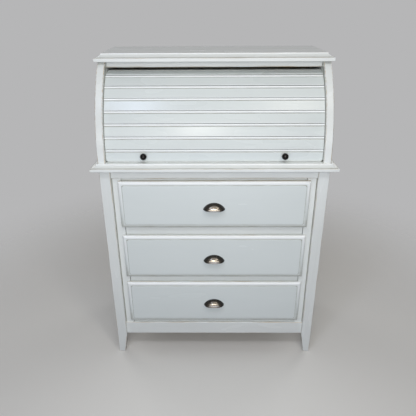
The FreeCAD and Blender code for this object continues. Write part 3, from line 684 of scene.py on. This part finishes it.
# %% Section of a slat
SLAT_FACE = 10 * MM
CANVAS = 0.8 * MM
EDGE_GAP = 0.15 * MM
BEAD = 7 * MM
BEAD_DROP = 0.1 * MM
QUIRK = 2.5 * MM
QUIRK_DEPTH = 1.5 * MM
BEAD_RISE = 2.4 * MM
JOINT_DEPTH = 1.0 * MM
BOTTOM_ROUND = 1.2 * MM


def slat_section(width, back):
    """Closed loop of across, out, rub, and glaze with painted shade and highlight: back, rounded lower edge,
    face, sunk line, bead, back.
    """
    low, high = EDGE_GAP, width - EDGE_GAP
    shoulder, half_bead = high - BEAD, BEAD / 2
    sunk = shoulder - QUIRK
    quarter, half = np.linspace(0, np.pi / 2, 6), np.linspace(0, np.pi, 13)
    # The glaze column paints light too: the sunk line's floor and the back get glaze colour, partly painted shade,
    # and the rounded lower edge and the bead get a lighter coat, a painted highlight.
    lower_edge = [low + BOTTOM_ROUND * (1 - np.cos(quarter)),
                  SLAT_FACE - BOTTOM_ROUND * (1 - np.sin(quarter)),
                  0.5 * np.sin(2 * quarter), -np.sin(quarter) ** 2]
    face_end = [[sunk - 1 * MM, sunk - 0.25 * MM, sunk],
                [SLAT_FACE, SLAT_FACE - 0.05 * MM, SLAT_FACE - 0.4 * MM],
                [0, 0.5, 0], [0, 0, 0.2]]
    face_start = [[low + BOTTOM_ROUND + 0.6 * MM], [SLAT_FACE], [0], [0]]
    floor = [[sunk + 0.3 * MM, shoulder - 0.2 * MM], [SLAT_FACE - QUIRK_DEPTH] * 2, [0, 0], [0.6, 0.6]]
    sink = np.where(half < np.pi / 2, BEAD_RISE, JOINT_DEPTH) * (1 - np.sin(half))
    bead = [shoulder + half_bead * (1 - np.cos(half)), SLAT_FACE - BEAD_DROP - sink,
            0 * half, -np.sin(half) ** 2]
    start, end = [[low], [back], [0], [0.7]], [[high], [back], [0], [0.7]]
    parts = (start, lower_edge, face_start, face_end, floor, bead, end)
    return np.concatenate([np.array(part, float) for part in parts], axis=1)


print(f"a slat's section has {slat_section(42 * MM, CANVAS).shape[1]} points")


# %% [markdown]
# ### Slats
# The section is carried along X. Near each end it shrinks a little towards its middle, which eases the
# end's edges. The lift rail is the first strip: it is thicker, and its two lower corners are rounded, which
# is done by lifting the points of its lower edge near the ends along a quarter circle.

# %% Strips between two hinge lines
END_EASE, NEAR_END = 0.6 * MM, 0.2 * MM
END_RUN = 2 * MM
CANVAS_EDGE = 0.6 * MM


def strip(section, lower, upper, half_length, corner=0.0):
    """Rings along X: lower + across * u + out * v, u along the strip's width and v square to it.

    Near each end the section shrinks by END_EASE, and its lower edge is lifted by corner * (1 - cos s)."""
    across, out, wear_and_highlight, glaze_and_painted_light = section
    lower, upper = np.array(lower), np.array(upper)
    u = (upper - lower) / np.linalg.norm(upper - lower)
    v = np.array([-u[1], u[0]])
    s = np.linspace(0, np.pi / 2, 9)
    round_run = (corner or END_RUN) * (1 - np.sin(s[::-1]))[1:]
    inward = np.concatenate([[0, NEAR_END, END_EASE], END_EASE + round_run])
    shrink = np.concatenate([[END_EASE, NEAR_END, 0], 0 * s[1:]])
    end_rub = np.concatenate([[1, 1, 0.6], 0 * s[1:]])
    lift = np.concatenate([[corner] * 3, corner * (1 - np.cos(s[::-1]))[1:]])
    x = np.concatenate([-(half_length - inward), (half_length - inward)[::-1]])
    shrink, end_rub, lift = (np.concatenate([part, part[::-1]])[:, None] for part in (shrink, end_rub, lift))
    bottom = across < EDGE_GAP + BOTTOM_ROUND + 1e-6
    centre_a, centre_o = across.mean(), (out.min() + out.max()) / 2
    a = across + bottom * lift - shrink * np.sign(across - centre_a)
    o = out - shrink * np.sign(out - centre_o)
    rings = np.empty(a.shape + (3,))
    rings[..., 0] = x[:, None]
    rings[..., 1:] = lower + a[..., None] * u + o[..., None] * v
    return rings, np.maximum(wear_and_highlight, end_rub), glaze_and_painted_light


def canvas_strip(lower, upper, half_length):
    """The canvas behind a strip: a thin rectangle, a little short of both hinge lines."""
    width = np.linalg.norm(np.array(upper) - np.array(lower))
    across = np.array([CANVAS_EDGE, CANVAS_EDGE, width - CANVAS_EDGE, width - CANVAS_EDGE])
    section = np.stack([across, [0, CANVAS, CANVAS, 0], [0] * 4, [0] * 4])
    rings, _, _ = strip(section, lower, upper, half_length)
    return rings[[0, -1]], 0.0, 0.0


# %% [markdown]
# The slats' hinge lines are the joints' axes. The lift rail's lower line is on the same circle, just above
# the waist board, and the last slat's far line is a slat's width on from its own hinge.

# %% Slats with their canvas
REST_GAP = 0.3 * MM
CANVAS_INSET = 6 * MM
slat_names = [f"tambour_slat_{k + 1}" for k in range(sum(name.startswith("tambour_slat") for name in nodes))]
hinges = [np.array(joints[f"slat_{k + 1}_hinge"]["pos_m"][1:]) for k in range(len(slat_names))]
hinges.append(np.array([corners(slat_names[-1])[1][1] + EDGE_GAP, hinges[-1][1]]))
canvas_radius = np.linalg.norm(hinges[0] - arc_centre[1:])
rest_angle = REST_GAP / (canvas_radius + SLAT_FACE)
rail_foot = arc_centre[1:] + canvas_radius * np.array([-math.cos(rest_angle), math.sin(rest_angle)])
half_length = corners(slat_names[0])[1][0]
for node, lower, upper in zip(slat_names, hinges, hinges[1:]):
    slat = slat_section(np.linalg.norm(upper - lower), CANVAS)
    put(node, f"{node}_wood", [strip(slat, lower, upper, half_length)], slat_enamel_with_painted_shade)
    put(node, f"{node}_canvas", [canvas_strip(lower, upper, half_length - CANVAS_INSET)], canvas)
print(f"{len(slat_names)} slats, {np.linalg.norm(hinges[1] - hinges[0]) / MM:.1f} mm from hinge to hinge")


# %% [markdown]
# ### Lift rail
# The rail has a tongue at each end that slides in the side's groove. A tongue follows the groove's curve, so
# its loops stand round the arc's middle, like slices of a ring.

# %% Lift rail and its tongues
RAIL_EXTRA = 6 * MM
RAIL_CORNER = 9 * MM
TONGUE = 6 * MM
TONGUE_REACH = 0.98 * TONGUE
TONGUE_SKIN = 2 * MM


def tongue(side):
    """Slices of a ring about the arc's middle, from just above the rounded corner to the rail's top."""
    rise = np.linspace(RAIL_CORNER + 1 * MM, corners("lift_rail")[1][2] - arc_centre[2] - 3 * MM, 9)
    outer = canvas_radius + SLAT_FACE - TONGUE_SKIN
    angle = rise / outer
    x = half_length + np.array([-1, 1, 1, -1]) * TONGUE_REACH
    radius = outer - np.array([0, 0, TONGUE, TONGUE])
    rings = np.empty((len(rise), 4, 3))
    rings[..., 0] = side * x
    rings[..., 1] = arc_centre[1] - np.cos(angle)[:, None] * radius
    rings[..., 2] = arc_centre[2] + np.sin(angle)[:, None] * radius
    return rings, 0.0, 0.0


rail_width = np.linalg.norm(hinges[0] - rail_foot)
rail_strip = strip(slat_section(rail_width, -RAIL_EXTRA), rail_foot, hinges[0], half_length, RAIL_CORNER)
put("lift_rail", "lift_rail_wood", [rail_strip, tongue(-1), tongue(1)], slat_enamel_with_painted_shade)
print(f"lift rail: {rail_width / MM:.1f} mm high")


# %% [markdown]
# ### Knobs
# A knob is turned: its profile goes round an axis that stands square on the lift rail's face. The profile
# has a small foot, a waist, and a ball a little flattened towards the hand.

# %% Turned knobs
KNOB_RADIUS = 11.5 * MM
KNOB_HEIGHT = 24 * MM
NECK_ANGLE, POLE_GAP = -1.22, 0.03
FOOT_RADII = np.array([6.9, 7.5, 7.5, 7.0, 5.2]) * MM
FOOT_HEIGHTS = np.array([0, 0.3, 0.9, 1.3, 1.5]) * MM


def turned_knob(node):
    """A profile of radius and height, turned: foot + height * out + radius * (cos a * x + sin a * up)."""
    low, high = corners(node)
    t = np.linspace(NECK_ANGLE, np.pi / 2 - POLE_GAP, 18)
    radius = np.concatenate([FOOT_RADII, KNOB_RADIUS * np.cos(t)])
    height = np.concatenate([FOOT_HEIGHTS, KNOB_HEIGHT - KNOB_RADIUS * (1 - np.sin(t))])
    up = (hinges[0] - rail_foot) / rail_width
    out = np.array([-up[1], up[0]])
    foot = (rail_foot + hinges[0]) / 2 + SLAT_FACE * out
    a = np.linspace(0, 2 * np.pi, 40, endpoint=False)
    rings = np.empty((len(radius), len(a), 3))
    rings[..., 0] = (low[0] + high[0]) / 2 + radius[:, None] * np.cos(a)
    rings[..., 1:] = foot + height[:, None, None] * out + (radius[:, None] * np.sin(a))[..., None] * up
    return rings, 0.0, 0.0


for node in ("left_knob", "right_knob"):
    put(node, f"{node}_turned", [turned_knob(node)], nickel)
print(f"knobs: {2 * KNOB_RADIUS / MM} mm across")


# %% [markdown]
# ## Drawer fronts
# A front has a thin lip that overlaps the frame, an ovolo on all four sides, a narrow flat band, and a
# raised field whose corners are rounded. That is a profile too, but carried towards the viewer: each of
# its points is a rectangle in the X-Z plane, drawn in by an inset, at a depth. The corner radius changes on
# the way, from nearly square at the lip to 7 mm at the field. Paint is rubbed through most along the top
# edge, where hands pull. Glaze stays round the field and where the lip meets the frame, and its colour
# also paints the shade of those corners. On the ovolo's lower side the glaze colour is painted shade, and
# the ovolo's other sides get a lighter coat, a painted highlight.

# %% Three drawer fronts
LIP_OVERLAP = 12 * MM
LIP = 4 * MM
DRAWER_OVOLO = 8 * MM
BAND = 15 * MM
FIELD_RISE = 2 * MM
FIELD_ROUND = 7 * MM
# Glaze colour on the ovolo's lower side, which is painted shade
UNDER_PAINTED_SHADE = 0.55
OTHER_WEAR = 0.4


def drawer_front(node, top_wear, top_glaze_and_shade):
    """Rings from the inner block to the field, each a rectangle drawn in by an inset.

    Each row has inset, distance in front of the lip's back, corner radius, rub, and glaze with painted shade
    and highlight. top_wear multiplies the rub along the top edge, and the last argument the glaze colour
    where the lip's top meets the frame, which is partly painted shade."""
    low, high = corners(node)
    depth = high[1] - low[1]
    plug = depth - LIP - DRAWER_OVOLO - FIELD_RISE
    t = np.linspace(0, np.pi / 2, 7)
    ovolo, face = DRAWER_OVOLO, LIP + DRAWER_OVOLO
    rows = [
        # The inner block, the lip, its worn arris, and glaze where it meets the frame, partly painted shade
        [LIP_OVERLAP + 0.5 * MM, -plug, MM, 0, 0], [LIP_OVERLAP, -plug + 0.5 * MM, MM, 0, 0],
        [LIP_OVERLAP, 0, MM, 0, 0], [0.3 * MM, 0, MM, 0, 1], [0, 0.3 * MM, MM, 0.6, 1],
        [0, 1.5 * MM, MM, 0.9, 0.3], [0, LIP - 0.3 * MM, MM, 1, 0],
        # The ovolo, whose lighter coat is a painted highlight
        *np.stack([ovolo * (1 - np.cos(t)), LIP + ovolo * np.sin(t), MM + 0 * t,
                   np.cos(t) ** 12, -1 + 0 * t], axis=-1),
        # The flat band and the raised field, with glaze round the field, partly painted shade
        [BAND - 2 * MM, face, 3 * MM, 0, 0], [BAND - 0.4 * MM, face, FIELD_ROUND + 0.4 * MM, 0, 1],
        [BAND, face + 0.4 * MM, FIELD_ROUND, 0, 1], [BAND, face + FIELD_RISE - 0.7 * MM, FIELD_ROUND, 0, 0.3],
        [BAND + 0.2 * MM, face + FIELD_RISE - 0.2 * MM, FIELD_ROUND - 0.2 * MM, 0.5, 0],
        [BAND + 0.7 * MM, face + FIELD_RISE, FIELD_ROUND - 0.7 * MM, 0.1, 0],
        [BAND + 3 * MM, face + FIELD_RISE, FIELD_ROUND - 3 * MM, 0, 0],
    ]
    inset, forward, radius, wear_and_highlight, glaze_and_painted_light = np.array(rows, float).T[..., None]
    lip_back = high[1] - plug
    loops = rounded_rectangles(low[[2, 0]] + inset, high[[2, 0]] - inset, radius)
    rings = stack_loops(loops, lip_back - forward[:, 0], 1)
    at_top, at_bottom = rings[..., 2] > high[2] - BAND, rings[..., 2] < low[2] + BAND - 3 * MM
    # Glaze colour where the lip's top meets the frame is partly painted shade; on the ovolo's lower side it is
    # painted shade.
    glaze_and_painted_light = np.where(at_top & (inset < 1 * MM) & (glaze_and_painted_light > 0), top_glaze_and_shade * glaze_and_painted_light, glaze_and_painted_light)
    glaze_and_painted_light = np.where(at_bottom & (glaze_and_painted_light < 0), UNDER_PAINTED_SHADE, glaze_and_painted_light)
    return rings, wear_and_highlight * np.where(at_top, top_wear, OTHER_WEAR), glaze_and_painted_light


for number, top_wear, top_glaze_and_shade in ((1, 1.3, 1.0), (2, 0.9, 0.2), (3, 0.9, 0.2)):
    node = f"drawer_{number}_front"
    put(node, f"{node}_panel", [drawer_front(node, top_wear, top_glaze_and_shade)], drawer_enamel_with_painted_shade)
    print(f"{node}: {(corners(node)[1] - corners(node)[0]) / MM} mm")


# %% [markdown]
# ### Drawer boxes
# The sides and backs are planed pine boards, the bottoms are plywood. They show when a drawer is open.

# %% Pine boxes
BOX_BOARDS = (("left_side", 1, pine_y), ("right_side", 1, pine_y),
              ("back", 0, pine_x), ("bottom", 0, plywood))
for number in (1, 2, 3):
    for part, grain, wood in BOX_BOARDS:
        node = f"drawer_{number}_{part}"
        put(node, f"{node}_board", [board(*corners(node), grain, 0.8 * MM)], wood)
    dress(f"runners_{number}", pine_y)
    dress(f"drawer_{number}_pull_screws", nickel)
print("3 drawer boxes of 4 boards")


# %% [markdown]
# ## Cup pulls
# A cup pull is a thin cast shell: half a bowl, open below for the fingers. Its height and its depth
# both fall to nothing at the two ends, each by its own curve, and between the drawer and the front rim the
# section is a quarter of a fat ellipse. So the surface is a function of two parameters, one along the
# pull and one over it, and the Solidify modifier gives the shell its wall, inwards. A painted highlight,
# bright nickel drawn as black rubbed off by fingers, lies on the lower middle of the front. That is a round
# hill, highest there and nothing at the ends.

# %% Three cup pulls
PULL_WALL = 1.8 * MM
SLOPE = 1.15
# Size of the painted highlight
HIGHLIGHT_WIDTH, HIGHLIGHT_HEIGHT = 0.5, 0.6  # of half the pull's width, and of its height


def pull_shell(low, high):
    """Grid of points: x = a sin(u), z = h(x) sin(v) ** p, depth = d(x) cos(v) ** p, with p = SLOPE.

    The height is h = c (1 - |x / a| ** 2.2) ** 0.8, and the depth is d = b (1 - (x / a) ** 4) ** 0.7."""
    a, b, c = (high[0] - low[0]) / 2, high[1] - low[1], high[2] - low[2]
    u = np.linspace(-np.pi / 2, np.pi / 2, 61)[:, None]
    v = np.linspace(0, np.pi / 2, 21)[None]
    along = np.sin(u)
    height = np.maximum(c * (1 - np.abs(along) ** 2.2) ** 0.8, 0.2 * MM)
    depth = np.maximum(b * (1 - along**4) ** 0.7, 0.2 * MM)
    points = np.empty((61, 21, 3))
    points[..., 0] = a * along
    points[..., 1] = high[1] - depth * np.cos(v) ** SLOPE
    points[..., 2] = low[2] + height * np.sin(v) ** SLOPE
    return points


def cup_pull(number):
    """Quads (i, j), (i+1, j), (i+1, j+1), (i, j+1). The painted highlight is exp(-(across / w) ** 2 - (rise / h)
    ** 2).
    """
    node = f"drawer_{number}_pull"
    low, high = corners(node)
    points = pull_shell(low, high)
    rows, columns = points.shape[:2]
    i, j = np.meshgrid(np.arange(rows - 1) * columns, np.arange(columns - 1), indexing="ij")
    quads = np.stack([i + j, i + columns + j, i + columns + j + 1, i + j + 1], axis=-1).reshape(-1, 4)
    mesh = bpy.data.meshes.new(f"drawer_{number}_cup_pull")
    mesh.from_pydata(points.reshape(-1, 3).tolist(), [], quads.tolist())
    mesh.shade_smooth()
    # A painted highlight: a round hill of bright nickel on the lower middle of the front.
    across = 2 * (points[..., 0] - low[0]) / (high[0] - low[0]) - 1
    rise = (points[..., 2] - low[2]) / (high[2] - low[2])
    add_mask(mesh, "wear_and_highlight", np.exp(-((across / HIGHLIGHT_WIDTH) ** 2) - (rise / HIGHLIGHT_HEIGHT) ** 2))
    piece = add_object(mesh.name, mesh)
    wall = piece.modifiers.new("cast_wall", "SOLIDIFY")
    wall.thickness, wall.offset, wall.use_even_offset = PULL_WALL, -1, True
    stand_in(piece, node, nickel)


for number in (1, 2, 3):
    cup_pull(number)
print("3 cup pulls")


# %% [markdown]
# ## Floor and background
# The desk stands on a plain pale floor that fades into an equally pale background, so there is no horizon.
# What is seen directly or in a reflection is pale, but the light that bounces back from it is weaker, as
# from a darker room, so that the undersides keep their shade.

# %% Floor and world
FLOOR, FLOOR_BOUNCE = "#E6E4E0", "#6C665F"
BACKGROUND, BACKGROUND_LIGHT = "#B6B6B7", (0.1, 0.102, 0.106, 1)
FADE_START, FADE_END = 0.7, 1.9
FLOOR_REACH = 8
floor_mesh = bpy.data.meshes.new("floor")
floor_corners = [(FLOOR_REACH * x, FLOOR_REACH * y, 0) for x, y in ((-1, -1), (1, -1), (1, 1), (-1, 1))]
floor_mesh.from_pydata(floor_corners, [], [(0, 1, 2, 3)])
floor = add_object("floor", floor_mesh)


def seen_or_bounced(tree, seen, bounced):
    """One colour for rays from the eye, a mirror or glass, and another for light that bounces."""
    kinds = ("Camera", "Glossy", "Transmission")
    rays = [add_node(tree, "LightPath", out=f"Is {kind} Ray") for kind in kinds]
    straight = add_node(tree, "Math", {"operation": "MAXIMUM"}, rays[:2])
    straight = add_node(tree, "Math", {"operation": "MAXIMUM"}, [straight, rays[2]])
    return add_node(tree, "Mix", RGBA, {0: straight, 6: bounced, 7: seen}, 2)


def pale_floor():
    """Matt pale paint, which fades out between two distances from the desk."""
    material, tree, shader = start_material("matt_pale_floor")
    colour = seen_or_bounced(tree, linear(FLOOR), linear(FLOOR_BOUNCE))
    tree.links.new(colour, shader.inputs["Base Color"])
    shader.inputs["Roughness"].default_value = 0.8
    place = add_node(tree, "TexCoord", out="Object")
    away = add_node(tree, "VectorMath", {"operation": "LENGTH"}, [place], out="Value")
    solid = add_node(tree, "MapRange", {"interpolation_type": "SMOOTHSTEP"},
                     [away, FADE_START, FADE_END, 1.0, 0.0])
    tree.links.new(solid, shader.inputs["Alpha"])
    return material


floor_mesh.materials.append(pale_floor())
world = bpy.data.worlds.new("pale_studio")
bpy.context.scene.world = world
world.use_nodes = True
background = world.node_tree.nodes["Background"]
sky = seen_or_bounced(world.node_tree, linear(BACKGROUND), BACKGROUND_LIGHT)
world.node_tree.links.new(sky, background.inputs["Color"])
background.inputs["Strength"].default_value = 1.0
print(f"the floor fades out from {FADE_START} to {FADE_END} m")


# %% [markdown]
# ## Lamps
# A room's light comes from many sides. Two lamps high in front are the main light; a low one in front and
# one near the floor show the drawers' undersides and the pulls; two broad ones overhead lay a shade under
# each lip. A small cool lamp on the left and a small warm one on the right leave their streaks on the
# tambour's satin paint and on the pulls, and two at the back keep the rear legs from going dark.

# %% Lamps
def soft_lamp(name, place, target, size, watts, colour):
    """A rectangular lamp of size (width, height) in metres at a place, turned to a target."""
    lamp = bpy.data.lights.new(name, "AREA")
    lamp.shape = "RECTANGLE"
    lamp.size, lamp.size_y = size
    lamp.energy = watts
    lamp.color = linear(colour)[:3]
    holder = add_object(name, lamp)
    holder.location = place
    holder.rotation_euler = (Vector(target) - Vector(place)).to_track_quat("-Z", "Y").to_euler()


soft_lamp("softbox", (-0.1, -2.1, 1.65), (0, 0, 0.9), (0.35, 0.25), 5.5, "#FFFCF4")
soft_lamp("high_softbox", (0.0, -2.4, 2.0), (0, 0, 0.95), (1.5, 0.8), 6, "#FFFFFF")
soft_lamp("low_front", (0.0, -1.5, 1.1), (0, 0, 0.8), (1.6, 0.3), 5.5, "#FFFFFF")
soft_lamp("floor_fill", (0.0, -2.0, 0.35), (0, 0, 0.5), (2.0, 0.6), 7.0, "#DAE6FF")
soft_lamp("cool_key", (-0.55, -1.35, 2.2), (-0.1, 0, 0.7), (0.35, 0.35), 3.6, "#D4E2FF")
soft_lamp("warm_key", (0.55, -1.35, 2.2), (0.1, 0, 0.7), (0.35, 0.35), 3.6, "#FFF8EC")
soft_lamp("overhead_front", (0.0, -1.5, 3.0), (0, 0, 0.8), (2.0, 1.0), 9, "#FFFFFF")
soft_lamp("ceiling", (0.0, 0.0, 3.0), (0, 0, 0), (2.0, 2.0), 4, "#FFFFFF")
for side in (-1, 1):
    soft_lamp(f"back_fill_{side}", (side * 2.6, 2.6, 1.5), (0, 0, 0.7), (1.6, 1.6), 24, "#FFFFFF")
print(f"{len(bpy.data.lights)} lamps, {sum(lamp.energy for lamp in bpy.data.lights):.1f} W")


# %% [markdown]
# ### Camera
# The camera stands at a person's eye height, in front of the desk, and looks down at it.

# %% Camera
CAMERA = Vector((-0.0075, -1.5903, 1.3188))
FOCAL_LENGTH, SENSOR = 37.757, 36
PITCH, YAW, ROLL = math.radians(25.10), math.radians(-0.58), math.radians(-0.31)
forward = Vector((math.sin(YAW) * math.cos(PITCH), math.cos(YAW) * math.cos(PITCH), -math.sin(PITCH)))
right = forward.cross(Vector((0, 0, 1))).normalized()
up = right.cross(forward)
turned_right = right * math.cos(ROLL) + up * math.sin(ROLL)
turned_up = up * math.cos(ROLL) - right * math.sin(ROLL)
lens = bpy.data.cameras.new("eye_height")
lens.lens = FOCAL_LENGTH
lens.sensor_width = SENSOR
camera = add_object("eye_height", lens)
axes = Matrix((turned_right, turned_up, -forward)).transposed().to_4x4()
camera.matrix_world = Matrix.Translation(CAMERA) @ axes
bpy.context.scene.camera = camera
bpy.context.scene.view_settings.view_transform = "Standard"
print(f"camera {CAMERA[:]}, {math.degrees(PITCH):.1f} degrees down")
